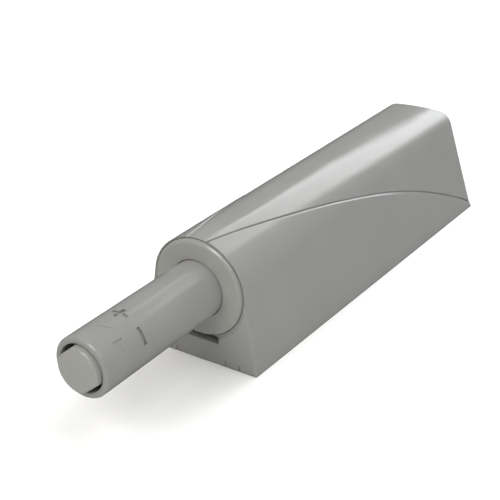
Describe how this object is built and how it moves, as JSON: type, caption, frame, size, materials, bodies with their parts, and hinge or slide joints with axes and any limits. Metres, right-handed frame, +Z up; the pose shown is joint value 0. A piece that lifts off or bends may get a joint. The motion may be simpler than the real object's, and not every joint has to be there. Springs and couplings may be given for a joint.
{
  "type": "push to open catch",
  "caption": "Push-to-open catch: a screw-on adapter housing holding a spring latch whose round plunger clicks in and springs out, with a turn-to-adjust tip.",
  "frame": {"origin": "centre of the two fixing holes, on the mounting face", "axes": "+Z up from the mounting face, -Y the way the plunger points, +X to the right when seen from behind the housing"},
  "size_m": [0.0216, 0.0877, 0.0178],
  "materials": {
    "housing_plastic": "fine satin grey moulding",
    "tip_plastic": "satin grey moulding",
    "slider_plastic": "slippery natural acetal",
    "spring_steel": "bright spring wire",
    "rubber": "black soft rubber"
  },
  "bodies": {
    "housing": {"base": "housing_plastic", "cover": "housing_plastic", "latch_barrel": "housing_plastic", "barrel_end_cap": "housing_plastic", "spring_guide_rod": "housing_plastic", "front_buffer": "rubber", "rear_buffer": "rubber", "barrel_lock": "housing_plastic", "main_spring": "spring_steel"},
    "carriage": {"slider": "slider_plastic", "spring_washer": "spring_steel", "retaining_clip": "spring_steel", "grip_ring": "rubber"},
    "adjuster": {"adjuster_sleeve": "housing_plastic"},
    "tip": {"tip_pin": "tip_plastic"},
    "follower": {"cam_follower": "spring_steel"}
  },
  "joints": [
    {"name": "push", "type": "slide", "parent": "housing", "child": "carriage", "axis": [0, 1, 0], "range_m": [0, 0.0185], "stiffness_N_per_m": 250, "springref_m": -0.012, "deforming": ["main_spring"]},
    {"name": "adjust_turn", "type": "hinge", "parent": "carriage", "child": "adjuster", "pos_m": [0, -0.03225, 0.01075], "axis": [0, -1, 0], "range_deg": [-72, 288]},
    {"name": "tip_travel", "type": "slide", "parent": "carriage", "child": "tip", "axis": [0, -1, 0], "range_m": [-0.001, 0.004]},
    {"name": "follower_swing", "type": "hinge", "parent": "housing", "child": "follower", "pos_m": [0, 0.021, 0.01075], "axis": [0, 0, 1], "range_deg": [0, 3.6]}
  ],
  "couplings": [
    {"joint": "adjust_turn", "follows": "tip_travel", "rad_per_m": 1256.6},
    {"joint": "follower_swing", "follows": "push", "rad_per_m": 3.3435}
  ]
}
